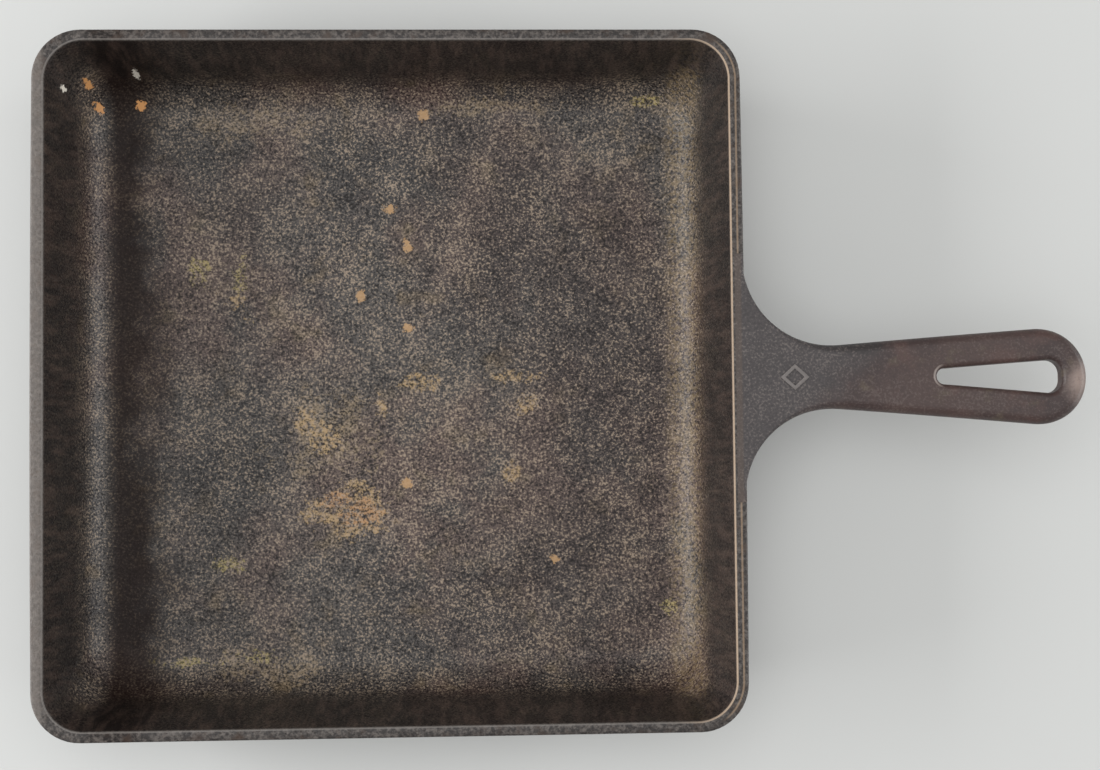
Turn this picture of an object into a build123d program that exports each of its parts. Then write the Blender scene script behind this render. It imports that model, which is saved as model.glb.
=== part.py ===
"""Square cast-iron skillet with an integral handle, a hanging eye and a small raised mark.

The real skillet is one iron casting: nothing is bolted on and nothing moves. The whole
casting is shaped first, and is then divided along its own lines into the regions that a
pattern maker would name: floor, walls, corners, handle root, grip and hanging loop. The
regions meet face to face, with no gap and no overlap.

Frame: millimetres, +X from the pan's centre out along the handle, +Z up, and the origin
at the centre of the flat base that the skillet stands on.
"""

import os
from math import atan, cos, pi, radians, sin, tan

from build123d import *

# ------------------------------------------------------------------ driving dimensions
# Pan
mouth_side = 258.0  # square opening between the inner rim edges
mouth_corner_radius = 15.0  # inner rim corners, in plan
rim_width_ends = 5.2  # rim at the middle of the two sides that face along X
rim_width_sides = 4.3  # rim of the two sides that face along Y
end_bow = 0.6  # how far the two X sides bow outwards at their middle
rim_corner_radius = 18.0  # outer rim corners, in plan
cavity_depth = 44.0  # from the rim's top down to the cooking floor
floor_thickness = 4.0
inner_draft = 13.0  # degrees that the inside of the walls leans outwards
outer_draft = 13.5  # degrees that the outside of the walls leans outwards
cove_radius = 15.0  # inside, where the walls turn into the floor
foot_radius = 19.0  # outside, where the walls turn under into the base
corner_margin = 9.0  # how much rounder in plan the pan's low corners are than cove and foot
edge_round = 1.2  # outer edge of the rim, and the edges of the handle

# Handle
handle_reach = 130.0  # from the rim's outer edge to the tip
tip_width = 36.4  # widest, just short of the round tip
side_slope = 0.080  # half-width gained for each millimetre towards the tip
flare_radius = 34.0  # hollow sweep between the handle and the wall
flare_bite = 0.5  # how deep the flare's ends run into the wall
neck_thickness = 9.0
tip_thickness = 8.5
tip_rise = 4.0  # how far the tip's top stands above the rim
root_depth = 14.0  # how far down the wall the handle's haunch reaches
seat_clearance = 1.0  # from the rim's outer edge out to the plane where the root begins

# Where the regions are divided
cut_clearance = 1.0  # from the ends of the cove and of the corners to the planes of division

# Hanging eye: a teardrop, narrow towards the pan
eye_length = 47.5
eye_tip_wall = 9.4  # iron between the eye's wide end and the handle's tip
eye_narrow_width = 5.6
eye_wide_width = 13.4
eye_wide_radius = 5.6
loop_margin = 6.0  # plain grip between the eye and the plane where the loop begins

# Raised mark on the handle's root: a plain lozenge outline
mark_length = 11.0
mark_width = 10.0
mark_line = 1.3
mark_height = 0.4
mark_setback = 18.5  # from the rim's outer edge to the mark's centre

# ------------------------------------------------------------------ sizes that follow
pan_height = cavity_depth + floor_thickness
mouth_half = mouth_side / 2
rim_half_x = mouth_half + rim_width_ends
rim_half_y = mouth_half + rim_width_sides

floor_sharp_half = mouth_half - cavity_depth * tan(radians(inner_draft))
floor_corner_radius = cove_radius + corner_margin
floor_flat_half = floor_sharp_half - cove_radius * tan(radians(90 - inner_draft) / 2)
floor_edge = floor_flat_half - cut_clearance
corner_start = floor_sharp_half - floor_corner_radius - cut_clearance

base_inset = pan_height * tan(radians(outer_draft))
base_corner_radius = foot_radius + corner_margin

tip_x = rim_half_x + handle_reach
tip_radius = tip_width / 2
tip_centre_x = tip_x - tip_radius
tip_top_z = pan_height + tip_rise
root_x = rim_half_x + seat_clearance
wall_x = rim_half_x - flare_bite
haunch_x = wall_x - root_depth * tan(radians(outer_draft))
buried_x = floor_flat_half
side_angle = atan(side_slope)
flare_length = flare_radius * cos(side_angle) / tan((pi / 2 - side_angle) / 2)
neck_x = wall_x + flare_length + seat_clearance

eye_wide_x = tip_x - eye_tip_wall
eye_narrow_x = eye_wide_x - eye_length
loop_x = eye_narrow_x - loop_margin
mark_x = rim_half_x + mark_setback

reach = 2 * (tip_x + mouth_side)  # larger than the skillet: for cutting boxes


def bowed_outline(half_x, half_y, corner_radius):
    """Sketch a rounded rectangle whose X sides reach half_x and bow by end_bow."""
    with BuildSketch(mode=Mode.PRIVATE) as outline:
        with BuildLine():
            for side in (-1, 1):
                ThreePointArc(
                    (side * (half_x - end_bow), -half_y),
                    (side * half_x, 0),
                    (side * (half_x - end_bow), half_y),
                )
                Line(
                    (-(half_x - end_bow), side * half_y),
                    (half_x - end_bow, side * half_y),
                )
        make_face()
        fillet(outline.vertices(), radius=corner_radius)
    return outline.sketch


def side_half_width(x):
    """Half the handle's width where its sides are straight."""
    return tip_radius / cos(side_angle) - side_slope * (tip_centre_x - x)


def flare_plan(depth):
    """Sketch the flare in plan, at a depth below the rim's top, where the wall stands further in."""
    wall = wall_x - depth * tan(radians(outer_draft))
    half_span = side_half_width(wall) + flare_length + seat_clearance
    with BuildSketch(mode=Mode.PRIVATE) as plan:
        with BuildLine():
            Polyline(
                (neck_x, side_half_width(neck_x)),
                (wall, side_half_width(wall)),
                (wall, half_span),
                (buried_x, half_span),
                (buried_x, -half_span),
                (wall, -half_span),
                (wall, -side_half_width(wall)),
                (neck_x, -side_half_width(neck_x)),
                close=True,
            )
        make_face()
        hollow_corners = plan.vertices().filter_by(
            lambda corner: corner.X < neck_x - edge_round and abs(corner.Y) < tip_radius
        )
        fillet(hollow_corners, radius=flare_radius)
    return plan.sketch


# ------------------------------------------------------------------ the whole casting
with BuildPart() as pan_outside:
    with BuildSketch(Plane.XY.offset(pan_height)):
        add(bowed_outline(rim_half_x, rim_half_y, rim_corner_radius))
    with BuildSketch(Plane.XY):
        add(bowed_outline(rim_half_x - base_inset, rim_half_y - base_inset, base_corner_radius))
    loft(ruled=True)
    fillet(pan_outside.faces().sort_by(Axis.Z)[0].edges(), radius=foot_radius)
    fillet(pan_outside.faces().sort_by(Axis.Z)[-1].edges(), radius=edge_round)

with BuildPart() as cavity:
    with BuildSketch(Plane.XY.offset(pan_height)):
        RectangleRounded(mouth_side, mouth_side, mouth_corner_radius)
    with BuildSketch(Plane.XY.offset(floor_thickness)):
        RectangleRounded(2 * floor_sharp_half, 2 * floor_sharp_half, floor_corner_radius)
    loft(ruled=True)
    fillet(cavity.faces().sort_by(Axis.Z)[0].edges(), radius=cove_radius)

with BuildPart() as handle_bar:
    # Plan: straight sides that widen and run smoothly into a round tip
    with BuildSketch(Plane.XY):
        with BuildLine():
            shoulder_x = tip_centre_x - tip_radius * sin(side_angle)
            Polyline(
                (shoulder_x, side_half_width(shoulder_x)),
                (buried_x, side_half_width(buried_x)),
                (buried_x, -side_half_width(buried_x)),
                (shoulder_x, -side_half_width(shoulder_x)),
            )
            ThreePointArc(
                (shoulder_x, side_half_width(shoulder_x)),
                (tip_x, 0),
                (shoulder_x, -side_half_width(shoulder_x)),
            )
        make_face()
    extrude(amount=tip_top_z + edge_round)
    # The flare follows the wall's draft down
    with BuildSketch(Plane.XY.offset(pan_height + edge_round)):
        add(flare_plan(-edge_round))
    with BuildSketch(Plane.XY.offset(pan_height - root_depth)):
        add(flare_plan(root_depth))
    loft(ruled=True)
    # Side view: flush with the rim as far as the neck, then rising to the tip
    with BuildSketch(Plane.XZ):
        with BuildLine():
            root_top = (buried_x, pan_height)
            root_low = (buried_x, pan_height - root_depth)
            wall_low = (haunch_x, pan_height - root_depth)
            neck_top = (neck_x, pan_height)
            neck_low = (neck_x, pan_height - neck_thickness)
            tip_top = (tip_x + edge_round, tip_top_z)
            tip_low = (tip_x + edge_round, tip_top_z - tip_thickness)
            Line(root_top, neck_top)
            TangentArc(neck_top, tip_top, tangent=(1, 0))
            Line(tip_top, tip_low)
            TangentArc(neck_low, tip_low, tangent=(1, 0))
            TangentArc(neck_low, wall_low, tangent=(-1, 0))
            Polyline(wall_low, root_low, root_top)
        make_face()
    extrude(amount=mouth_side, both=True, mode=Mode.INTERSECT)

with BuildPart() as eye_opening:
    with BuildSketch(Plane.XY) as teardrop:
        with BuildLine():
            Polyline(
                (eye_narrow_x, eye_narrow_width / 2),
                (eye_wide_x, eye_wide_width / 2),
                (eye_wide_x, -eye_wide_width / 2),
                (eye_narrow_x, -eye_narrow_width / 2),
                close=True,
            )
        make_face()
        fillet(teardrop.vertices().group_by(Axis.X)[0], radius=eye_narrow_width / 2)
        fillet(teardrop.vertices().group_by(Axis.X)[-1], radius=eye_wide_radius)
    extrude(amount=tip_top_z + edge_round)

with BuildPart() as casting:
    add(pan_outside.part)
    add(handle_bar.part)
    add(cavity.part, mode=Mode.SUBTRACT)
    add(eye_opening.part, mode=Mode.SUBTRACT)

# ------------------------------------------------------------------ its regions
os.makedirs("parts", exist_ok=True)


def write_region(name, x_span, y_span, without_floor=False, rounded=False):
    """Write the iron between two X planes and two Y planes as one named sub-part."""
    with BuildPart() as region:
        add(casting.part)
        with Locations((sum(x_span) / 2, sum(y_span) / 2)):
            Box(x_span[1] - x_span[0], y_span[1] - y_span[0], reach, mode=Mode.INTERSECT)
        if without_floor:
            Box(2 * floor_edge, 2 * floor_edge, reach, mode=Mode.SUBTRACT)
        if rounded:
            fillet(region.edges().filter_by(is_long_outer_edge), radius=edge_round)
    region.part.label = name
    export_step(region.part, f"parts/{name}.step")


def is_long_outer_edge(edge):
    """Tell the handle's long edges from its eye's and from those that run across it."""
    box = edge.bounding_box()
    return box.size.X > tip_radius / 2 and max(box.max.Y, -box.min.Y) > eye_wide_width / 2


# Ends along X: "near" is the handle's end and "far" the other
ends = {
    "near": ((floor_edge, root_x), (corner_start, root_x)),
    "far": ((-rim_half_x, -floor_edge), (-rim_half_x, -corner_start)),
}
# Sides along Y, named for someone who stands in the pan and looks along the handle
sides = {
    "left": ((floor_edge, rim_half_y), (corner_start, rim_half_y)),
    "right": ((-rim_half_y, -floor_edge), (-rim_half_y, -corner_start)),
}
between_corners = (-corner_start, corner_start)

write_region("pan_floor", (-floor_edge, floor_edge), (-floor_edge, floor_edge))
for end, (wall_span, end_corner_span) in ends.items():
    write_region(f"wall_{end}", wall_span, between_corners)
    for side, (_, side_corner_span) in sides.items():
        write_region(f"corner_{side}_{end}", end_corner_span, side_corner_span, without_floor=True)
for side, (wall_span, _) in sides.items():
    write_region(f"wall_{side}", between_corners, wall_span)

handle_span = (-rim_half_y, rim_half_y)
write_region("handle_root", (root_x, neck_x), handle_span, rounded=True)
write_region("handle_grip", (neck_x, loop_x), handle_span, rounded=True)
write_region("hanging_loop", (loop_x, tip_x), handle_span, rounded=True)

# ------------------------------------------------------------------ the raised mark
with BuildPart() as raised_mark:
    with BuildSketch(Plane.XY.offset(pan_height)):
        with Locations((mark_x, 0)):
            Polygon(
                (mark_length / 2, 0),
                (0, mark_width / 2),
                (-mark_length / 2, 0),
                (0, -mark_width / 2),
            )
        offset(amount=-mark_line, mode=Mode.SUBTRACT)
    extrude(amount=mark_height)
raised_mark.part.label = "raised_mark"
export_step(raised_mark.part, "parts/raised_mark.step")
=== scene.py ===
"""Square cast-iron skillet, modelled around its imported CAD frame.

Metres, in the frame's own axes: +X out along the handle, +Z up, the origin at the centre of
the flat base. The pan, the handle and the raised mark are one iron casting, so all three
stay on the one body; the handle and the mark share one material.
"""

from math import atan, cos, pi, radians, tan

import bmesh
import bpy
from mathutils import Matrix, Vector


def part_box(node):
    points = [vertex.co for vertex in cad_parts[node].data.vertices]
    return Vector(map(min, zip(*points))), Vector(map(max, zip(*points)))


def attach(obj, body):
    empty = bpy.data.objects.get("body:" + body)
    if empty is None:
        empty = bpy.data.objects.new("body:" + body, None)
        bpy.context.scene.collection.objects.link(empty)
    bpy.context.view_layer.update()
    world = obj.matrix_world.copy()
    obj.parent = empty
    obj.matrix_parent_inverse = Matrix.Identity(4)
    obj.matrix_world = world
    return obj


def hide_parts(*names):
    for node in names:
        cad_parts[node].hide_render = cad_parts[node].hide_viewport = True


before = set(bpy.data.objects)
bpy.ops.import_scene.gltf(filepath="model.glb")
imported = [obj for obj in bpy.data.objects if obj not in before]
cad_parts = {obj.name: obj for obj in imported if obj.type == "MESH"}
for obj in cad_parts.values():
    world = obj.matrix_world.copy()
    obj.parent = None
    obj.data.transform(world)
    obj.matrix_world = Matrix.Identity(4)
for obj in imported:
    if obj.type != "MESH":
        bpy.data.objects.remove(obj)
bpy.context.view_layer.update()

MM = 0.001

# ------------------------------------------------------------------ sizes from the frame
rim_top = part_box("wall_left")[1].z
rim_half_x = -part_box("wall_far")[0].x
rim_half_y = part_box("wall_left")[1].y
loop_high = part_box("hanging_loop")[1]
tip_x = loop_high.x
tip_top = loop_high.z
neck_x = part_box("handle_grip")[0].x
mark_low, mark_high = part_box("raised_mark")

# ------------------------------------------------------------------ sizes of the casting
rim_rounding_loss = 0.3 * MM  # how far the rounded rim edge stands in from the walls' planes
mouth_half = 129.0 * MM
mouth_corner = 15.0 * MM
ledge_width = 1.5 * MM  # bright flat next to the mouth, before the rim falls away
ledge_fall = 0.3 * MM
rim_corner = 18.0 * MM
rim_bow = 0.6 * MM
floor_top = 4.0 * MM
floor_corner = 24.0 * MM
base_corner = 28.0 * MM
inner_draft = radians(13.0)
outer_draft = radians(13.5)
cove_radius = 15.0 * MM
foot_radius = 19.0 * MM

flare_radius = 34.0 * MM
side_slope = 0.080
tip_radius = 18.2 * MM
grip_thickness = 9.0 * MM
tip_thickness = 8.5 * MM
haunch_depth = 14.0 * MM
eye_wide_x = tip_x - 9.4 * MM
eye_narrow_x = eye_wide_x - 47.5 * MM
eye_wide_half = 6.7 * MM
eye_narrow_half = 2.8 * MM
eye_wide_rounding = 5.6 * MM
tip_drift = 0.9 * MM  # the handle's end leans a little to the -Y side

flare_bite = 0.5 * MM  # how deep the flare's ends run into the wall
root_gap = 1.3 * MM  # from the mouth's edge to the handle's buried end
grip_rounding = 4.0 * MM  # on the grip; the flare and the eye have a share of it
eye_share = 0.55
flare_share = 0.3
rim_rounding = 1.0 * MM
mouth_rounding = 0.4 * MM
mark_line = 1.3 * MM
mark_rise = 0.45 * MM
mark_rounding = 0.2 * MM
unevenness = 0.35 * MM  # how far the sand mould's waves push the pan's inside in and out

near = 0.1 * MM  # how close two places are to count as one
corner_segments = 12
side_segments = 68
grid_span = corner_segments + side_segments
cut_step = 3 * MM
smooth_angle = radians(50)


# ------------------------------------------------------------------ ways of working
def start_piece(name):
    """Open a new empty mesh object in edit mode."""
    bpy.ops.object.select_all(action="DESELECT")
    piece = bpy.data.objects.new(name, bpy.data.meshes.new(name))
    bpy.context.scene.collection.objects.link(piece)
    bpy.context.view_layer.objects.active = piece
    piece.select_set(True)
    bpy.ops.object.mode_set(mode="EDIT")
    return piece


def pick_edges(piece, test):
    """Select only the edges that pass the test."""
    bpy.ops.mesh.select_mode(type="EDGE")
    bpy.ops.mesh.select_all(action="DESELECT")
    mesh = bmesh.from_edit_mesh(piece.data)
    for edge in mesh.edges:
        if test(edge):
            edge.select = True
    mesh.select_flush_mode()
    bmesh.update_edit_mesh(piece.data)


def pick_corners(piece, test):
    """Select only the vertices whose place passes the test."""
    bpy.ops.mesh.select_mode(type="VERT")
    bpy.ops.mesh.select_all(action="DESELECT")
    mesh = bmesh.from_edit_mesh(piece.data)
    for corner in mesh.verts:
        if test(corner.co):
            corner.select = True
    mesh.select_flush_mode()
    bmesh.update_edit_mesh(piece.data)


def pick_faces(piece, test):
    """Select only the faces that pass the test."""
    bpy.ops.mesh.select_mode(type="FACE")
    bpy.ops.mesh.select_all(action="DESELECT")
    mesh = bmesh.from_edit_mesh(piece.data)
    for face in mesh.faces:
        if test(face):
            face.select = True
    mesh.select_flush_mode()
    bmesh.update_edit_mesh(piece.data)


def from_mouth(place):
    """Distance outwards from the mouth's outline, in plan."""
    straight = mouth_half - mouth_corner
    over_x, over_y = abs(place.x) - straight, abs(place.y) - straight
    outside = Vector((max(over_x, 0.0), max(over_y, 0.0))).length
    return outside + min(max(over_x, over_y), 0.0) - mouth_corner


def add_outline(piece, half_x, half_y, z, corner_radius, bow=0.0):
    """Add a rounded rectangle of short edges, its X sides bowed outwards by bow."""
    bpy.ops.mesh.select_mode(type="VERT")
    bpy.ops.mesh.select_all(action="DESELECT")
    bpy.ops.mesh.primitive_plane_add(size=2, location=(0, 0, z))
    bpy.ops.transform.resize(value=(half_x - bow, half_y, 1), center_override=(0, 0, z))
    bpy.ops.mesh.bevel(
        offset=corner_radius, segments=corner_segments, affect="VERTICES", clamp_overlap=False
    )
    pick_faces(piece, lambda face: all(len(edge.link_faces) == 1 for edge in face.edges))
    bpy.ops.mesh.delete(type="ONLY_FACE")
    pick_edges(piece, lambda edge: edge.is_wire and edge.calc_length() > mouth_half)
    bpy.ops.mesh.subdivide(number_cuts=side_segments - 1)
    for side in (-1, 1) if bow else ():
        middle = Vector((side * (half_x - bow), 0, z))
        pick_corners(piece, lambda place: (place - middle).length < near)
        bpy.ops.transform.translate(
            value=(side * bow, 0, 0),
            use_proportional_edit=True,
            use_proportional_connected=True,
            proportional_edit_falloff="INVERSE_SQUARE",
            proportional_size=half_y,
        )


def bridge_outlines(piece):
    """Join the newest outline to the open edge of the faces before it."""
    pick_edges(
        piece,
        lambda edge: edge.is_wire or (edge.is_boundary and edge.verts[0].co.z > rim_top / 2),
    )
    bpy.ops.mesh.bridge_edge_loops(type="SINGLE", interpolation="LINEAR")


def close_outline(piece, z):
    """Fill the open outline at a height with one flat face."""
    pick_edges(piece, lambda edge: edge.is_boundary and abs(edge.verts[0].co.z - z) < MM)
    bpy.ops.mesh.edge_face_add()


def round_edges(piece, test, radius, turn, segments):
    """Round the edges that pass the test, which turn by an angle, to a radius."""
    pick_edges(piece, test)
    bpy.ops.mesh.bevel(
        offset=radius * tan(turn / 2),
        offset_type="OFFSET",
        segments=segments,
        profile=0.5,
        affect="EDGES",
        clamp_overlap=False,
        loop_slide=True,
    )


def grid_flat(piece, z):
    """Exchange the one large face at a height for a grid of small ones."""
    pick_faces(
        piece,
        lambda face: len(face.verts) > grid_span and abs(face.calc_center_median().z - z) < MM,
    )
    bpy.ops.mesh.delete(type="ONLY_FACE")
    pick_edges(piece, lambda edge: len(edge.link_faces) == 1)
    mesh = bmesh.from_edit_mesh(piece.data)
    mesh.verts.ensure_lookup_table()
    corner = max((v for v in mesh.verts if v.select), key=lambda v: v.co.x + v.co.y)
    mesh.select_history.clear()
    mesh.select_history.add(corner)
    bmesh.update_edit_mesh(piece.data)
    bpy.ops.mesh.fill_grid(span=grid_span, offset=0)


def finish_piece(piece):
    """Leave edit mode with outward normals and soft shading."""
    bpy.ops.mesh.select_all(action="SELECT")
    bpy.ops.mesh.remove_doubles(threshold=0.005 * MM)
    bpy.ops.mesh.normals_make_consistent(inside=False)
    bpy.ops.object.mode_set(mode="OBJECT")
    bpy.ops.object.shade_smooth_by_angle(angle=smooth_angle)


def roughen(piece, amount, low, high):
    """Push the cast surface a little in and out between two heights, and leave the rest true."""
    share = piece.vertex_groups.new(name="uneven")
    for corner in piece.data.vertices:
        rise = min(max((corner.co.z - low) / MM, 0.0), 1.0)
        fade = min(max((high - corner.co.z) / (6 * MM), 0.0), 1.0)
        share.add([corner.index], rise * fade, "REPLACE")
    clouds = bpy.data.textures.new("sand mould", "CLOUDS")
    clouds.noise_scale = 25 * MM
    uneven = piece.modifiers.new("uneven", "DISPLACE")
    uneven.texture = clouds
    uneven.vertex_group = share.name
    uneven.strength = amount
    uneven.mid_level = 0.5
    bpy.ops.object.modifier_apply(modifier=uneven.name)


# ------------------------------------------------------------------ the pan
def model_pan():
    """Model the pan: five outlines, bridged and rounded, with gridded floor and base."""
    pan = start_piece("pan")
    outer_x = rim_half_x + rim_rounding_loss
    outer_y = rim_half_y + rim_rounding_loss
    ledge_half = mouth_half + ledge_width
    rim_low = rim_top - ledge_fall
    floor_half = mouth_half - (rim_top - floor_top) * tan(inner_draft)
    base_inset = rim_top * tan(outer_draft)

    add_outline(pan, floor_half, floor_half, floor_top, floor_corner)
    add_outline(pan, mouth_half, mouth_half, rim_top, mouth_corner)
    bridge_outlines(pan)
    add_outline(pan, ledge_half, ledge_half, rim_top, mouth_corner + ledge_width)
    bridge_outlines(pan)
    add_outline(pan, outer_x, outer_y, rim_low, rim_corner, rim_bow)
    bridge_outlines(pan)
    add_outline(pan, outer_x - base_inset, outer_y - base_inset, 0.0, base_corner, rim_bow)
    bridge_outlines(pan)
    close_outline(pan, floor_top)
    close_outline(pan, 0.0)

    def meets_flat(z):
        return lambda edge: all(abs(end.co.z - z) < near for end in edge.verts) and any(
            len(face.verts) > grid_span for face in edge.link_faces
        )

    def runs_round(z, distance):
        return lambda edge: all(
            abs(end.co.z - z) < 0.01 * MM and abs(from_mouth(end.co) - distance) < near
            for end in edge.verts
        )

    def rim_outside(edge):
        at_rim = all(abs(end.co.z - rim_low) < 0.01 * MM for end in edge.verts)
        return at_rim and len(edge.link_faces) == 2

    round_edges(pan, meets_flat(floor_top), cove_radius, pi / 2 - inner_draft, 12)
    round_edges(pan, meets_flat(0.0), foot_radius, pi / 2 - outer_draft, 10)
    round_edges(pan, rim_outside, rim_rounding, pi / 2, 4)
    round_edges(pan, runs_round(rim_top, 0.0), mouth_rounding, pi / 2, 3)
    pick_edges(pan, lambda edge: abs(edge.verts[0].co.z - edge.verts[1].co.z) > 20 * MM)
    bpy.ops.mesh.subdivide(number_cuts=11)
    grid_flat(pan, floor_top)
    grid_flat(pan, 0.0)
    finish_piece(pan)
    roughen(pan, unevenness, floor_top - MM, rim_top - 8 * MM)
    return pan


# ------------------------------------------------------------------ the handle
wall_x = rim_half_x + rim_rounding_loss - flare_bite  # where the flare's ends run into the wall
root_x = mouth_half + root_gap
side_angle = atan(side_slope)
flare_run = flare_radius / tan((pi / 2 - side_angle) / 2)
handle_top = rim_top + 0.03 * MM  # a hair over the rim, so that the two flush tops don't clash
tip_rise = tip_top - rim_top
haunch_end_x = wall_x - haunch_depth * tan(outer_draft)
eye_middle_x = (eye_narrow_x + eye_wide_x) / 2
eye_half = (eye_wide_x - eye_narrow_x) / 2
flare_end_x = wall_x + 12 * MM  # where the rounding starts to soften from flare to grip
soft_x = neck_x + 4 * MM  # and where it is full


def bar_half_width(x):
    """Half the handle's width where its sides are straight."""
    return tip_radius / cos(side_angle) - side_slope * (tip_x - tip_radius - x)


def model_eye_cutter():
    """Model the teardrop block that the hanging eye is cut with."""
    cutter = start_piece("eye_cutter")
    centre = (eye_middle_x, 0, rim_top)
    bpy.ops.mesh.primitive_cube_add(size=2, location=centre)
    bpy.ops.transform.resize(value=(eye_half, eye_wide_half, 30 * MM), center_override=centre)
    pick_corners(cutter, lambda place: place.x < eye_middle_x)
    bpy.ops.transform.resize(
        value=(1, eye_narrow_half / eye_wide_half, 1), center_override=(eye_narrow_x, 0, rim_top)
    )
    for at_narrow_end, offset in ((True, 0.97 * eye_narrow_half), (False, eye_wide_rounding)):
        pick_edges(
            cutter,
            lambda edge: abs(edge.verts[0].co.z - edge.verts[1].co.z) > 20 * MM
            and (edge.verts[0].co.x < eye_middle_x) == at_narrow_end,
        )
        bpy.ops.mesh.bevel(offset=offset, segments=10, affect="EDGES", clamp_overlap=False)
    bpy.ops.object.mode_set(mode="OBJECT")
    return cutter


def weigh_edges(handle):
    """Give each outline edge its share of the full rounding: crisp at the flare, soft on the grip."""
    mesh = bmesh.from_edit_mesh(handle.data)
    share = mesh.edges.layers.float.get("bevel_weight_edge")
    if share is None:
        share = mesh.edges.layers.float.new("bevel_weight_edge")
    for edge in mesh.edges:
        start, end = (corner.co for corner in edge.verts)
        middle = (start + end) / 2
        if abs(start.z - end.z) > near or not edge.is_manifold:
            continue
        if abs(edge.calc_face_angle(0.0)) < radians(60) or middle.x < wall_x + near:
            continue
        in_eye = eye_narrow_x - MM < middle.x < eye_wide_x + MM and abs(middle.y) < eye_wide_half + MM
        if in_eye:
            edge[share] = eye_share
        else:
            softness = (middle.x - flare_end_x) / (soft_x - flare_end_x)
            edge[share] = flare_share + (1 - flare_share) * min(max(softness, 0.0), 1.0)
    bmesh.update_edit_mesh(handle.data)


def cut_across(piece, low, high, step, normal):
    """Cut every face along evenly spaced planes."""
    cuts = int((high - low) / step)
    for index in range(1, cuts + 1):
        bpy.ops.mesh.select_all(action="SELECT")
        bpy.ops.mesh.bisect(
            plane_co=Vector(normal) * (low + index * (high - low) / (cuts + 1)), plane_no=normal
        )


def carry_to_casting(handle):
    """Lift the flat bar's tip, deepen its haunch and lean its root with the wall."""
    mesh = bmesh.from_edit_mesh(handle.data)
    for corner in mesh.verts:
        x, y, z = corner.co
        depth = (handle_top - z) / grip_thickness
        along = min(max((x - neck_x) / (tip_x - neck_x), 0.0), 1.0)
        back = min(max((neck_x - x) / (neck_x - haunch_end_x), 0.0), 1.0)
        thickness = grip_thickness + (haunch_depth - grip_thickness) * back**2
        thickness -= (grip_thickness - tip_thickness) * along**2
        drop = depth * thickness
        lean = back * back * (3 - 2 * back)
        corner.co = (
            x - drop * tan(outer_draft) * lean,
            y - tip_drift * along**2,
            handle_top + tip_rise * along**2 - drop,
        )
    bmesh.update_edit_mesh(handle.data)


def model_handle():
    """Model the handle: a T-shaped bar, its flare and tip rounded in plan, with the eye cut out."""
    handle = start_piece("handle")
    root_half = bar_half_width(wall_x) + flare_run + MM
    middle = ((root_x + wall_x) / 2, 0, handle_top)
    bpy.ops.mesh.primitive_plane_add(size=2, location=middle)
    bpy.ops.transform.resize(value=((wall_x - root_x) / 2, root_half, 1), center_override=middle)
    pick_edges(handle, lambda edge: min(end.co.x for end in edge.verts) > wall_x - near)
    bpy.ops.mesh.subdivide(number_cuts=2)
    pick_corners(handle, lambda place: place.x > wall_x - near and abs(place.y) < root_half - MM)
    bpy.ops.transform.resize(
        value=(1, 3 * bar_half_width(wall_x) / root_half, 1), center_override=(wall_x, 0, handle_top)
    )
    bpy.ops.mesh.extrude_region_move(TRANSFORM_OT_translate={"value": (tip_x - wall_x, 0, 0)})
    bpy.ops.transform.resize(
        value=(1, bar_half_width(tip_x) / bar_half_width(wall_x), 1),
        center_override=(tip_x, 0, handle_top),
    )
    pick_edges(
        handle,
        lambda edge: not edge.is_boundary
        and all(abs(end.co.x - wall_x) < near for end in edge.verts),
    )
    bpy.ops.mesh.dissolve_edges(use_verts=False)
    pick_corners(
        handle, lambda place: abs(place.x - wall_x) < near and abs(place.y) < tip_radius
    )
    bpy.ops.mesh.bevel(offset=flare_run, segments=24, affect="VERTICES", clamp_overlap=False)
    pick_corners(handle, lambda place: place.x > tip_x - near)
    bpy.ops.mesh.bevel(
        offset=bar_half_width(tip_x) - 0.05 * MM, segments=20, affect="VERTICES", clamp_overlap=False
    )
    bpy.ops.mesh.select_all(action="SELECT")
    bpy.ops.mesh.extrude_region_move(TRANSFORM_OT_translate={"value": (0, 0, -grip_thickness)})
    bpy.ops.mesh.select_all(action="SELECT")
    bpy.ops.mesh.normals_make_consistent(inside=False)
    bpy.ops.object.mode_set(mode="OBJECT")

    cutter = model_eye_cutter()
    bpy.context.view_layer.objects.active = handle
    eye = handle.modifiers.new("eye", "BOOLEAN")
    eye.operation = "DIFFERENCE"
    eye.solver = "EXACT"
    eye.object = cutter
    bpy.ops.object.modifier_apply(modifier=eye.name)
    bpy.data.objects.remove(cutter)

    bpy.ops.object.mode_set(mode="EDIT")
    weigh_edges(handle)
    bpy.ops.object.mode_set(mode="OBJECT")
    rounding = handle.modifiers.new("rounding", "BEVEL")
    rounding.limit_method = "WEIGHT"
    rounding.width = grip_rounding
    rounding.segments = 8
    rounding.use_clamp_overlap = False
    bpy.ops.object.modifier_apply(modifier=rounding.name)

    bpy.ops.object.mode_set(mode="EDIT")
    cut_across(handle, root_x, tip_x, cut_step, (1, 0, 0))
    cut_across(handle, -root_half, root_half, cut_step, (0, 1, 0))
    carry_to_casting(handle)
    finish_piece(handle)
    return handle


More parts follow.
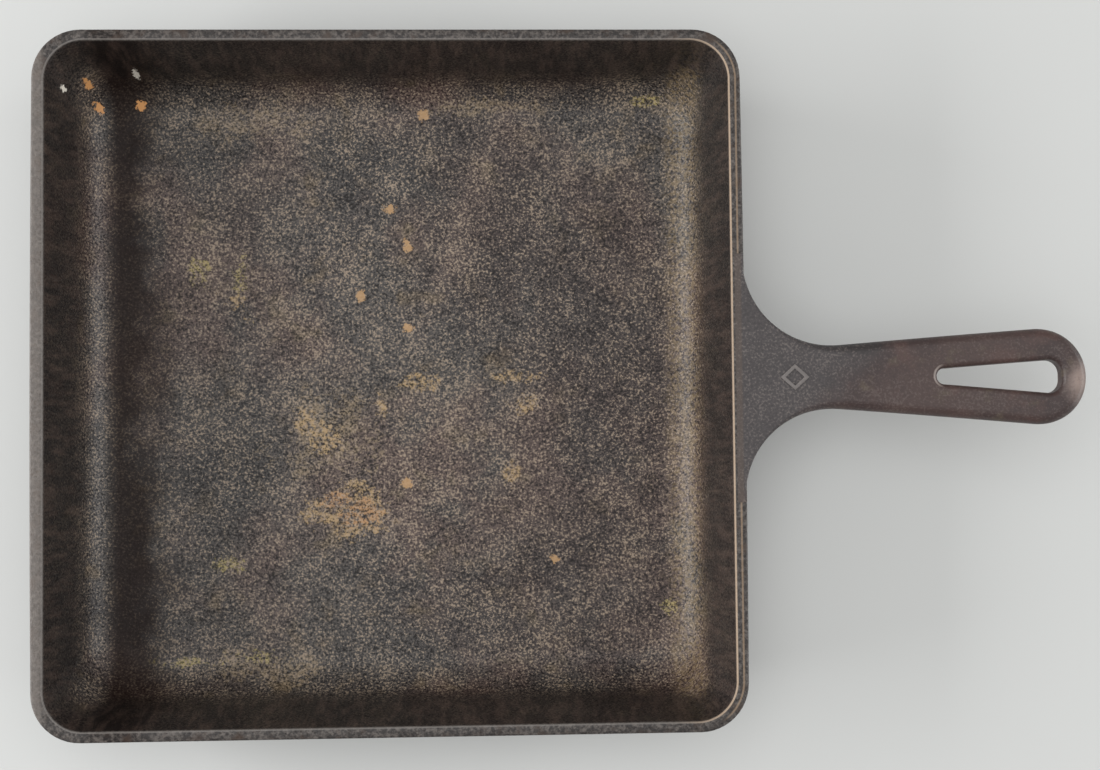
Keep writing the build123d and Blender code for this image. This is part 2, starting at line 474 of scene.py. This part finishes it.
# ------------------------------------------------------------------ the raised mark
def model_mark():
    """Model the lozenge outline that stands on the handle's root."""
    mark = start_piece("mark_outline")
    centre = (mark_low + mark_high) / 2
    half = (mark_high - mark_low) / 2
    bpy.ops.mesh.primitive_circle_add(
        vertices=4, radius=1, fill_type="NGON", location=(centre.x, centre.y, rim_top)
    )
    bpy.ops.transform.resize(value=(half.x, half.y, 1), center_override=(centre.x, centre.y, rim_top))
    bpy.ops.mesh.inset(thickness=mark_line)
    bpy.ops.mesh.delete(type="ONLY_FACE")
    bpy.ops.mesh.select_all(action="SELECT")
    bpy.ops.mesh.extrude_region_move(TRANSFORM_OT_translate={"value": (0, 0, mark_rise)})
    bpy.ops.mesh.select_all(action="SELECT")
    bpy.ops.mesh.normals_make_consistent(inside=False)
    pick_edges(mark, lambda edge: edge.calc_face_angle(0.0) > radians(30))
    bpy.ops.mesh.bevel(offset=mark_rounding, segments=3, affect="EDGES")
    finish_piece(mark)
    return mark


# ------------------------------------------------------------------ ways of mixing finishes
def tone(red, green, blue):
    """Turn a colour as the eye reads it, 0 to 255 each, into linear light."""

    def linear(value):
        share = value / 255
        return share / 12.92 if share <= 0.04045 else ((share + 0.055) / 1.055) ** 2.4

    return (linear(red), linear(green), linear(blue), 1.0)


class Bench:
    """Short ways to place and join the nodes of one finish."""

    def __init__(self, tree):
        self.tree = tree

    def place(self, kind, inputs=None, **settings):
        """Place a node, set it up, and join or set its inputs."""
        node = self.tree.nodes.new("ShaderNode" + kind)
        for name, value in settings.items():
            setattr(node, name, value)
        for name, value in (inputs or {}).items():
            if isinstance(value, bpy.types.NodeSocket):
                self.tree.links.new(value, node.inputs[name])
            else:
                node.inputs[name].default_value = value
        return node

    def use(self, group, **inputs):
        """Place a shared effect."""
        node = self.tree.nodes.new("ShaderNodeGroup")
        node.node_tree = group
        for name, value in inputs.items():
            if isinstance(value, bpy.types.NodeSocket):
                self.tree.links.new(value, node.inputs[name])
            else:
                node.inputs[name].default_value = value
        return node.outputs

    def sum(self, operation, *values, clamp=False):
        """Work out one number."""
        node = self.place("Math", dict(enumerate(values)), operation=operation, use_clamp=clamp)
        return node.outputs[0]

    def vector(self, operation, *values):
        """Work out one vector."""
        return self.place("VectorMath", dict(enumerate(values)), operation=operation).outputs[0]

    def noise(self, where, scale, detail=2.0, roughness=0.5):
        """Soft random values between 0 and 1."""
        inputs = {"Vector": where, "Scale": scale, "Detail": detail, "Roughness": roughness}
        return self.place("TexNoise", inputs).outputs["Fac"]

    def ease(self, value, start, end):
        """Rise smoothly from 0 at start to 1 at end."""
        inputs = {"Value": value, "From Min": start, "From Max": end}
        return self.place("MapRange", inputs, interpolation_type="SMOOTHSTEP").outputs["Result"]

    def coat(self, share, under, over, how="MIX"):
        """Lay one colour over another by a share."""
        node = self.place("Mix", data_type="RGBA", blend_type=how)
        for socket, value in ((0, share), (6, under), (7, over)):
            if isinstance(value, bpy.types.NodeSocket):
                self.tree.links.new(value, node.inputs[socket])
            else:
                node.inputs[socket].default_value = value
        return node.outputs[2]

    def tint(self, colour, share, strength, stain):
        """Lay a stain over a colour by a share of a strength."""
        return self.coat(self.sum("MULTIPLY", share, strength), colour, stain)

    def both(self, *shares):
        """Multiply shares, for where all of them hold."""
        total = shares[0]
        for share in shares[1:]:
            total = self.sum("MULTIPLY", total, share)
        return total


def new_effect(name, inputs, outputs):
    """Start a shared effect with named inputs and outputs."""
    group = bpy.data.node_groups.new(name, "ShaderNodeTree")
    for label, kind, value in inputs:
        socket = group.interface.new_socket(label, in_out="INPUT", socket_type="NodeSocket" + kind)
        if value is not None:
            socket.default_value = value
    for label, kind in outputs:
        group.interface.new_socket(label, in_out="OUTPUT", socket_type="NodeSocket" + kind)
    bench = Bench(group)
    given = group.nodes.new("NodeGroupInput").outputs
    result = group.nodes.new("NodeGroupOutput").inputs
    return group, bench, given, result


def make_cast_grain():
    """Fine grain of sand-cast iron: light grains that are partly painted glints, dark pits and the
    height of both.
    """
    group, bench, given, result = new_effect(
        "cast grain",
        [("Place", "Vector", None), ("Fineness", "Float", 1000.0), ("Patchiness", "Float", 0.5)],
        [("GrainsAndGlints", "Float"), ("Pits", "Float"), ("Height", "Float")],
    )
    fine = bench.noise(given["Place"], given["Fineness"], 3.0, 0.65)
    clumps = bench.noise(given["Place"], 60.0, 3.0, 0.6)
    lift = bench.sum("MULTIPLY", bench.sum("SUBTRACT", clumps, 0.5), given["Patchiness"])
    level = bench.sum("ADD", fine, bench.sum("MULTIPLY", lift, 0.5))
    join(bench, bench.ease(level, 0.52, 0.66), result["GrainsAndGlints"])
    join(bench, bench.ease(level, 0.49, 0.36), result["Pits"])
    join(bench, fine, result["Height"])
    return group


def make_mottle():
    """Wide, soft changes of colour between four seasoned tones."""
    group, bench, given, result = new_effect(
        "mottle",
        [
            ("Place", "Vector", None),
            ("Wide", "Float", 9.0),
            ("First", "Color", None),
            ("Second", "Color", None),
            ("Third", "Color", None),
            ("Fourth", "Color", None),
        ],
        [("Colour", "Color"), ("Unevenness", "Float")],
    )
    aside = bench.vector("ADD", given["Place"], (0.37, 0.61, 0.2))
    beyond = bench.vector("ADD", given["Place"], (0.83, 0.15, 0.5))
    wide = bench.noise(given["Place"], given["Wide"], 4.0, 0.6)
    middling = bench.noise(aside, bench.sum("MULTIPLY", given["Wide"], 2.2), 4.0, 0.6)
    small = bench.noise(beyond, bench.sum("MULTIPLY", given["Wide"], 6.0), 3.0, 0.6)
    colour = bench.coat(bench.ease(wide, 0.42, 0.6), given["First"], given["Second"])
    colour = bench.coat(bench.ease(middling, 0.5, 0.68), colour, given["Third"])
    colour = bench.coat(bench.ease(small, 0.55, 0.75), colour, given["Fourth"])
    join(bench, colour, result["Colour"])
    join(bench, small, result["Unevenness"])
    return group


def make_patch():
    """One ragged oval patch: its share is 1 in the middle and 0 outside."""
    group, bench, given, result = new_effect(
        "patch",
        [
            ("Place", "Vector", None),
            ("Centre", "Vector", None),
            ("Spread", "Vector", (1.0, 1.0, 1.0)),
            ("Ragged", "Float", 0.0),
        ],
        [("Share", "Float")],
    )
    offset = bench.vector("SUBTRACT", given["Place"], given["Centre"])
    scaled = bench.vector("DIVIDE", offset, given["Spread"])
    away = bench.place("VectorMath", {0: scaled}, operation="LENGTH").outputs["Value"]
    edge = bench.sum("ADD", away, given["Ragged"])
    join(bench, bench.ease(edge, 1.1, 0.2), result["Share"])
    return group


def make_mouth_distance():
    """Distance outwards from the pan's mouth in plan, less inside it."""
    group, bench, given, result = new_effect(
        "mouth distance", [("Place", "Vector", None)], [("Distance", "Float")]
    )
    straight = mouth_half - mouth_corner
    around = bench.vector("ABSOLUTE", given["Place"])
    over = bench.vector("SUBTRACT", around, (straight, straight, 0.0))
    flat = bench.vector("MULTIPLY", over, (1.0, 1.0, 0.0))
    outside = bench.vector("MAXIMUM", flat, (0.0, 0.0, 0.0))
    length = bench.place("VectorMath", {0: outside}, operation="LENGTH").outputs["Value"]
    parts = bench.place("SeparateXYZ", {0: over}).outputs
    inside = bench.sum("MINIMUM", bench.sum("MAXIMUM", parts["X"], parts["Y"]), 0.0)
    total = bench.sum("SUBTRACT", bench.sum("ADD", length, inside), mouth_corner)
    join(bench, total, result["Distance"])
    return group


def join(bench, value, socket):
    """Feed a value to a socket."""
    bench.tree.links.new(value, socket)


cast_grain = make_cast_grain()
mottle = make_mottle()
patch = make_patch()
mouth_distance = make_mouth_distance()


def start_finish(name):
    """Start a material: its bench, its shader and its place on the object."""
    material = bpy.data.materials.new(name)
    material.use_nodes = True
    tree = material.node_tree
    shader = tree.nodes["Principled BSDF"]
    bench = Bench(tree)
    place = bench.place("TexCoord").outputs["Object"]
    return material, bench, shader, place


def lay_patches(bench, place, ragged, patches):
    """Add up ragged oval patches, each given as x, y, half-length and half-width in millimetres."""
    total = None
    for x, y, half_x, half_y in patches:
        share = bench.use(
            patch,
            Place=place,
            Centre=(x * MM, y * MM, 0.0),
            Spread=(half_x * MM, half_y * MM, 1.0),
            Ragged=ragged,
        )["Share"]
        total = share if total is None else bench.sum("MAXIMUM", total, share)
    return total


def fleck(bench, patches, flecks, sparseness):
    """Break patches up into flecks that crowd towards their middles."""
    crowd = bench.sum("MULTIPLY_ADD", patches, sparseness, flecks)
    return bench.ease(crowd, sparseness + 0.42, sparseness + 0.58)


def line_at(bench, value, centre, half_width):
    """A thin soft line where a value passes its centre."""
    off = bench.sum("ABSOLUTE", bench.sum("SUBTRACT", value, centre))
    return bench.ease(off, half_width, half_width * 0.4)


def outer_shell(bench):
    """Tell the outside and the base from the inside: only they lean or look downwards."""
    facing = bench.place("TexCoord").outputs["Normal"]
    return bench.ease(bench.place("SeparateXYZ", {0: facing}).outputs["Z"], 0.1, -0.1)


def stain_floor(bench, place, colour, ragged, flecks):
    """Shade the floor widely, then stain and scratch it, all under its grain; the pale smears and
    scratches along the top edge are partly painted highlight.
    """
    for patches, stain, strength in SHADES:
        colour = bench.tint(colour, lay_patches(bench, place, ragged, patches), strength, stain)
    for patches, stain, sparseness, strength in STAINS:
        share = fleck(bench, lay_patches(bench, place, ragged, patches), flecks, sparseness)
        colour = bench.tint(colour, share, strength, stain)
    drawn_out = bench.vector("MULTIPLY", place, SCRATCH_STRETCH)
    scratches = bench.ease(bench.noise(drawn_out, 55.0, 4.0, 0.7), 0.56, 0.7)
    scratched = bench.sum("ADD", 0.12, lay_patches(bench, place, ragged, SCRATCHED_AND_TOP_SHEEN), clamp=True)
    return bench.tint(colour, bench.both(scratches, scratched), 0.5, tone(138, 124, 106))


def darken_and_spot_floor(bench, place, colour, ragged, frayed):
    """Lay the darker band along the top cove and small marks over the floor's grain."""
    for patches, stain, strength in DARK_BANDS:
        colour = bench.tint(colour, lay_patches(bench, place, ragged, patches), strength, stain)
    for patches, stain, strength in SMALL_MARKS:
        share = small_marks(bench, place, frayed, patches)
        colour = bench.tint(colour, share, strength, stain)
    return colour


def small_marks(bench, place, frayed, patches):
    """Small marks with frayed outlines."""
    return bench.ease(lay_patches(bench, place, frayed, patches), 0.25, 0.6)


def wear_and_highlight_rim(bench, place, colour, distance):
    """Lay the rim's speckle, a painted highlight on its left side, a line of wear and painted
    highlight at the mouth, brighter on the handle's side, and a second, painted highlight line further
    out on the handle's side.
    """
    across, up_side, height = bench.place("SeparateXYZ", {0: place}).outputs
    fine = bench.noise(place, 700.0, 3.0, 0.6)
    patchy = bench.noise(place, 160.0, 3.0, 0.6)
    on_rim = bench.ease(height, rim_top - 2 * MM, rim_top - 0.8 * MM)
    rim = bench.coat(bench.ease(fine, 0.38, 0.7), tone(40, 36, 35), tone(92, 86, 82))
    rim = bench.coat(bench.ease(patchy, 0.5, 0.75), rim, tone(62, 50, 43))
    # painted highlight: the rim's left side is lighter
    left_rim_highlight = bench.ease(across, -mouth_half + MM, -mouth_half - 1.5 * MM)
    rim = bench.tint(rim, left_rim_highlight, 0.45, tone(120, 112, 106))
    colour = bench.coat(bench.both(on_rim, bench.ease(distance, -0.6 * MM, 0.1 * MM)), colour, rim)

    # the line at the mouth: part wear, part painted highlight, stronger and warmer on the handle's
    # side
    handle_side = bench.ease(across, *HANDLE_SIDE)
    worn_and_highlight_tone = bench.coat(handle_side, tone(118, 113, 109), tone(172, 150, 128))
    strength = bench.sum("MULTIPLY_ADD", handle_side, 0.3, 0.6)
    rim_wear_and_highlight = bench.both(line_at(bench, distance, *WORN_AND_HIGHLIGHT_LINE), on_rim, strength)
    colour = bench.coat(rim_wear_and_highlight, colour, worn_and_highlight_tone)
    # painted highlight: a second line on the rim's shoulder, on the handle's side and clear of the
    # root
    clear_of_root = bench.ease(bench.sum("ABSOLUTE", up_side), *CLEAR_OF_ROOT)
    second = bench.both(
        line_at(bench, distance, *SHOULDER_HIGHLIGHT_LINE), clear_of_root, on_rim, bench.ease(across, *SHOULDER_HIGHLIGHT_SIDE)
    )
    return bench.tint(colour, second, 0.6, tone(150, 128, 106))


def finish_pan():
    """Seasoned iron of the pan: speckled floor with light grains that are partly painted glints, walls
    darkened by painted shade, a rim with wear and painted highlights, a tan streak with painted sheen
    on the right cove, rust and oil stains.
    """
    material, bench, shader, place = start_finish("seasoned iron, pan")
    across = bench.place("SeparateXYZ", {0: place}).outputs["X"]
    distance = bench.use(mouth_distance, Place=place)["Distance"]
    wobble = bench.sum("SUBTRACT", bench.noise(place, 45.0, 4.0, 0.65), 0.5)
    ragged = bench.sum("MULTIPLY", wobble, 2.4)
    flecks = bench.noise(place, 620.0, 4.0, 0.72)
    frayed = bench.sum("MULTIPLY", bench.sum("SUBTRACT", flecks, 0.5), 2.6)
    grain = bench.use(cast_grain, Place=place, Fineness=1150.0, Patchiness=0.5)
    base = bench.use(
        mottle,
        Place=place,
        Wide=12.0,
        First=tone(64, 60, 58),
        Second=tone(78, 62, 57),
        Third=tone(54, 50, 49),
        Fourth=tone(92, 79, 62),
    )
    # a darker, duller band on the floor beside the left cove
    drifting = bench.sum("MULTIPLY_ADD", wobble, LEFT_BAND_DRIFT, across)
    left_dark_band = bench.both(bench.ease(drifting, *LEFT_BAND_INNER), bench.ease(across, *LEFT_BAND_OUTER))
    # a tan streak along the right cove, partly painted sheen that widens and warms the cove's
    # highlight
    tan_and_sheen = bench.both(
        bench.ease(across, *TAN_SHEEN_INNER), bench.ease(across, *TAN_SHEEN_OUTER), bench.ease(flecks, 0.42, 0.6)
    )

    colour = stain_floor(bench, place, base["Colour"], ragged, flecks)
    colour = bench.tint(colour, grain["Pits"], 0.92, tone(20, 16, 15))
    # light grains, partly painted glints
    colour = bench.tint(colour, grain["GrainsAndGlints"], 0.8, tone(160, 142, 122))
    colour = darken_and_spot_floor(bench, place, colour, ragged, frayed)
    colour = bench.tint(colour, left_dark_band, 0.85, tone(28, 17, 14))
    colour = bench.tint(colour, tan_and_sheen, 0.5, tone(136, 116, 84))

    run = bench.noise(bench.vector("MULTIPLY", place, RUN_STRETCH), 260.0, 4.0, 0.65)
    # painted shade darkens the inner walls; the runs down them are real streaks
    wall_shade_and_runs = bench.coat(bench.ease(run, 0.42, 0.7), tone(26, 22, 21), tone(60, 49, 44))
    colour = bench.tint(colour, bench.ease(distance, *WALL_FOOT), 0.86, wall_shade_and_runs)
    for patches, stain in ((CRUMBS, tone(206, 150, 96)), (WHITE_SPECKS, tone(226, 220, 208))):
        colour = bench.coat(small_marks(bench, place, frayed, patches), colour, stain)

    shell = bench.coat(bench.ease(run, 0.4, 0.62), tone(70, 64, 61), tone(58, 52, 50))
    shell = bench.tint(shell, grain["Pits"], 0.5, tone(34, 30, 29))
    shell = bench.tint(shell, grain["GrainsAndGlints"], 0.3, tone(120, 112, 106))
    colour = bench.coat(outer_shell(bench), colour, shell)
    colour = wear_and_highlight_rim(bench, place, colour, distance)

    join(bench, colour, shader.inputs["Base Color"])
    rough = bench.sum("ADD", 0.34, bench.sum("MULTIPLY", base["Unevenness"], 0.2))
    join(bench, rough, shader.inputs["Roughness"])
    dull = bench.sum("MAXIMUM", bench.sum("MULTIPLY", grain["Pits"], 0.75), left_dark_band)
    gloss = bench.sum("MULTIPLY_ADD", dull, -0.34, 0.48)
    join(bench, gloss, shader.inputs["Specular IOR Level"])
    bump = bench.place("Bump", {"Height": grain["Height"], "Strength": 0.6, "Distance": 0.3 * MM})
    join(bench, bump.outputs["Normal"], shader.inputs["Normal"])
    return material


def finish_handle():
    """Seasoned iron of the handle: grey at the root, satin brown on the grip."""
    material, bench, shader, place = start_finish("seasoned iron, handle")
    along, up_side, height = bench.place("SeparateXYZ", {0: place}).outputs
    base = bench.use(
        mottle,
        Place=place,
        Wide=26.0,
        First=tone(63, 47, 44),
        Second=tone(51, 37, 36),
        Third=tone(70, 50, 46),
        Fourth=tone(72, 60, 50),
    )
    wobble = bench.sum("SUBTRACT", bench.noise(place, 60.0, 3.0), 0.5)
    brown = bench.sum("MULTIPLY_ADD", wobble, 30 * MM, along)
    brown = bench.sum("MULTIPLY_ADD", up_side, -0.8, brown)
    brown = bench.ease(brown, neck_x - 10 * MM, neck_x + 14 * MM)
    colour = bench.coat(brown, tone(58, 53, 54), base["Colour"])
    ragged = bench.sum("MULTIPLY", wobble, 1.6)
    for patches, stain, strength in HANDLE_SHADES:
        colour = bench.tint(colour, lay_patches(bench, place, ragged, patches), strength, stain)

    grain = bench.use(cast_grain, Place=place, Fineness=1150.0, Patchiness=0.6)
    coarse_share = bench.sum("SUBTRACT", 1.0, bench.sum("MULTIPLY", brown, 0.5))
    pits = bench.both(grain["Pits"], bench.sum("MULTIPLY", coarse_share, 0.5))
    colour = bench.coat(pits, colour, tone(34, 30, 30))
    # light grains, partly painted glints
    grains = bench.both(grain["GrainsAndGlints"], bench.sum("MULTIPLY", coarse_share, 0.32))
    colour = bench.coat(grains, colour, tone(134, 124, 118))
    strip = bench.ease(along, wall_x - 0.5 * MM, wall_x - 1.5 * MM)
    colour = bench.tint(colour, strip, 0.4, tone(84, 68, 56))
    raised = bench.both(
        bench.ease(height, rim_top + 0.1 * MM, rim_top + 0.35 * MM),
        bench.ease(along, mark_high.x + 3 * MM, mark_high.x + MM),
    )
    colour = bench.tint(colour, raised, 0.55, tone(128, 122, 119))

    from_eye = bench.vector("SUBTRACT", place, (eye_narrow_x + eye_narrow_half, 0.0, handle_top))
    away = bench.place("VectorMath", {0: from_eye}, operation="LENGTH").outputs["Value"]
    ring = bench.both(
        line_at(bench, away, eye_narrow_half + 1.3 * MM, 0.6 * MM),
        bench.ease(along, eye_narrow_x + 3 * MM, eye_narrow_x),
    )
    colour = bench.tint(colour, ring, 0.6, tone(150, 138, 132))

    join(bench, colour, shader.inputs["Base Color"])
    rough = bench.sum("ADD", 0.36, bench.sum("MULTIPLY", base["Unevenness"], 0.2))
    join(bench, rough, shader.inputs["Roughness"])
    shader.inputs["Specular IOR Level"].default_value = 0.5
    bump = bench.place("Bump", {"Height": grain["Height"], "Strength": 0.3, "Distance": 0.2 * MM})
    join(bench, bump.outputs["Normal"], shader.inputs["Normal"])
    return material


# Where the dark band, the tan streak with its painted sheen, the painted highlights and the rim's wear
# begin and are full, across the pan along X
LEFT_BAND_DRIFT = 44 * MM  # how widely the dark band beside the left cove wanders
LEFT_BAND_INNER = (-82 * MM, -106 * MM)
LEFT_BAND_OUTER = (-117 * MM, -109 * MM)
# the tan streak and painted sheen on the right cove
TAN_SHEEN_INNER = (106 * MM, 113 * MM)
TAN_SHEEN_OUTER = (124 * MM, 118 * MM)
# where the painted highlight line on the rim's shoulder begins and is full
SHOULDER_HIGHLIGHT_SIDE = (122 * MM, 129 * MM)
HANDLE_SIDE = (100 * MM, mouth_half)
CLEAR_OF_ROOT = (40 * MM, 50 * MM)  # to either side of the handle

# Distances outwards from the mouth
# where the painted shade on the inner walls begins and is full
WALL_FOOT = (-10 * MM, -5 * MM)
# the line at the mouth, part wear and part painted highlight
WORN_AND_HIGHLIGHT_LINE = (0.2 * MM, 0.45 * MM)  # middle and half-width
# the painted highlight line on the rim's shoulder
SHOULDER_HIGHLIGHT_LINE = (2.6 * MM, 0.5 * MM)

# How noise is squeezed to draw it out: scratches along X, runs down the walls
SCRATCH_STRETCH = (1.0, 16.0, 1.0)
RUN_STRETCH = (1.0, 1.0, 0.12)

# Marks on the pan and the handle, each as x, y, half-length and half-width in millimetres
# pale smears; those along the floor's top edge are partly painted highlight
PALE_SMEARS_AND_TOP_SHEEN = [(-62, 106, 40, 14), (40, 112, 44, 6), (-30, -20, 34, 30), (-50, -112, 50, 10)]
TAN_STAINS = [
    (-38, -14, 8, 9),
    (-28, -22, 12, 10),
    (-6, -9, 7, 9),
    (12, 0, 20, 8),
    (42, 3, 30, 5),
    (52, -9, 12, 8),
    (46, -36, 8, 12),
    (-18, -50, 30, 18),
    (-62, 34, 14, 10),
]
OIL_STAINS = [
    (-78, 48, 8, 10),
    (-60, 43, 10, 18),
    (-64, -71, 14, 7),
    (-54, -107, 11, 6),
    (-84, -109, 20, 5),
    (99, 114, 12, 4),
    (110, -90, 7, 8),
]
RUST_STAINS = [(-14, -51, 14, 8), (-24, -46, 10, 7)]
SPOTS = [
    (12, 109, 3, 3),
    (-2, 71, 3.5, 2.5),
    (5, 56, 2.5, 3),
    (-14, 36, 2.5, 3.5),
    (5, 23, 3, 2),
    (4, -39, 2.5, 3),
    (63, -70, 2, 2.5),
]
CRUMBS = [(-101, 112.7, 2.6, 2.8), (-116.3, 110.3, 2.2, 2.6), (-117.7, 117.3, 1.8, 2.2)]
WHITE_SPECKS = [(-100.1, 122.4, 1.6, 1.4), (-124.8, 113.5, 1.0, 1.4)]
# a darker band along the top cove
TOP_DARK_BAND = [(-20, 121, 110, 5), (60, 122, 60, 5)]
MAUVE_SIDE = [(86, 8, 56, 100), (70, -70, 50, 50), (40, 60, 34, 50)]
GREY_MIDDLE = [(6, 92, 60, 26), (-66, 74, 30, 26), (-70, -30, 26, 44), (30, -96, 40, 20)]
# scratched zones; those along the floor's top edge are partly painted highlight
SCRATCHED_AND_TOP_SHEEN = [
    (-88, 1, 26, 16),
    (-60, 112, 40, 12),
    (42, 114, 30, 8),
    (0, -4, 60, 14),
    (-102, 38, 12, 24),
]
SHADES = [
    (GREY_MIDDLE, tone(38, 36, 37), 0.55),
    (MAUVE_SIDE, tone(42, 26, 24), 0.62),
]
STAINS = [
    (PALE_SMEARS_AND_TOP_SHEEN, tone(132, 115, 92), 0.3, 0.75),
    (TAN_STAINS, tone(172, 144, 102), 0.4, 0.85),
    (OIL_STAINS, tone(166, 150, 94), 0.36, 0.85),
    (RUST_STAINS, tone(172, 118, 74), 0.36, 0.5),
]
DARK_BANDS = [(TOP_DARK_BAND, tone(40, 30, 28), 0.4)]
SMALL_MARKS = [(SPOTS, tone(176, 140, 98), 0.85)]
NECK_SHADOW = [(172, 12, 24, 4)]
# painted highlight on the tip's rounded end
TIP_HIGHLIGHT = [(260, -3, 6, 11)]
HANDLE_SHADES = [
    (NECK_SHADOW, tone(34, 30, 31), 0.75),
    (TIP_HIGHLIGHT, tone(156, 138, 130), 0.7),
]


# ------------------------------------------------------------------ the object
pan = model_pan()
handle = model_handle()
mark = model_mark()
pan.data.materials.append(finish_pan())
handle_finish = finish_handle()
handle.data.materials.append(handle_finish)
mark.data.materials.append(handle_finish)

for piece in (pan, handle, mark):
    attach(piece, "root")
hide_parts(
    "pan_floor",
    "wall_near",
    "wall_far",
    "wall_left",
    "wall_right",
    "corner_left_near",
    "corner_left_far",
    "corner_right_near",
    "corner_right_far",
)
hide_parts("handle_root", "handle_grip", "hanging_loop")
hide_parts("raised_mark")

# ------------------------------------------------------------------ floor, light and camera
bpy.ops.object.select_all(action="DESELECT")
bpy.ops.mesh.primitive_plane_add(size=6, location=(0, 0, -0.2 * MM))
table = bpy.context.object
table.name = "table"
table_finish, table_bench, table_shader, table_place = start_finish("pale table")
table_tone = table_bench.coat(
    table_bench.noise(table_place, 6.0, 2.0), (0.575, 0.585, 0.578, 1.0), (0.605, 0.615, 0.608, 1.0)
)
join(table_bench, table_tone, table_shader.inputs["Base Color"])
table_shader.inputs["Roughness"].default_value = 0.85
table.data.materials.append(table_finish)


def hang_light(name, place, aim, width, depth, power):
    """Hang one soft rectangular light, facing a point."""
    lamp = bpy.data.lights.new(name, "AREA")
    lamp.shape = "RECTANGLE"
    lamp.size = width
    lamp.size_y = depth
    lamp.energy = power
    light = bpy.data.objects.new(name, lamp)
    light.location = place
    light.rotation_euler = (Vector(aim) - Vector(place)).to_track_quat("-Z", "Y").to_euler()
    bpy.context.scene.collection.objects.link(light)
    return light


hang_light("overhead softbox", (-0.15, 0.1, 1.8), (0.0, 0.0, 0.0), 1.8, 1.6, 14.0)
hang_light("left softbox", (-1.4, 0.0, 0.6), (0.0, 0.0, 0.02), 1.3, 0.5, 22.0)
hang_light("right softbox", (1.5, 0.0, 0.5), (0.0, 0.0, 0.02), 1.3, 0.4, 12.0)

world = bpy.data.worlds.new("studio")
bpy.context.scene.world = world
world.use_nodes = True
world.node_tree.nodes["Background"].inputs["Color"].default_value = (1.0, 0.99, 0.97, 1.0)
world.node_tree.nodes["Background"].inputs["Strength"].default_value = 0.42
bpy.context.scene.view_settings.view_transform = "Standard"

lens = bpy.data.cameras.new("camera")
lens.sensor_width = 36.0
lens.lens = 55.64
camera = bpy.data.objects.new("camera", lens)
camera.location = (0.03246, -0.02792, 0.68667)
camera.rotation_mode = "ZYX"
camera.rotation_euler = (radians(2.3066), radians(-2.4498), radians(-0.5143))
bpy.context.scene.collection.objects.link(camera)
bpy.context.scene.camera = camera

# ------------------------------------------------------------------ bring the scene up to date
bpy.context.view_layer.update()
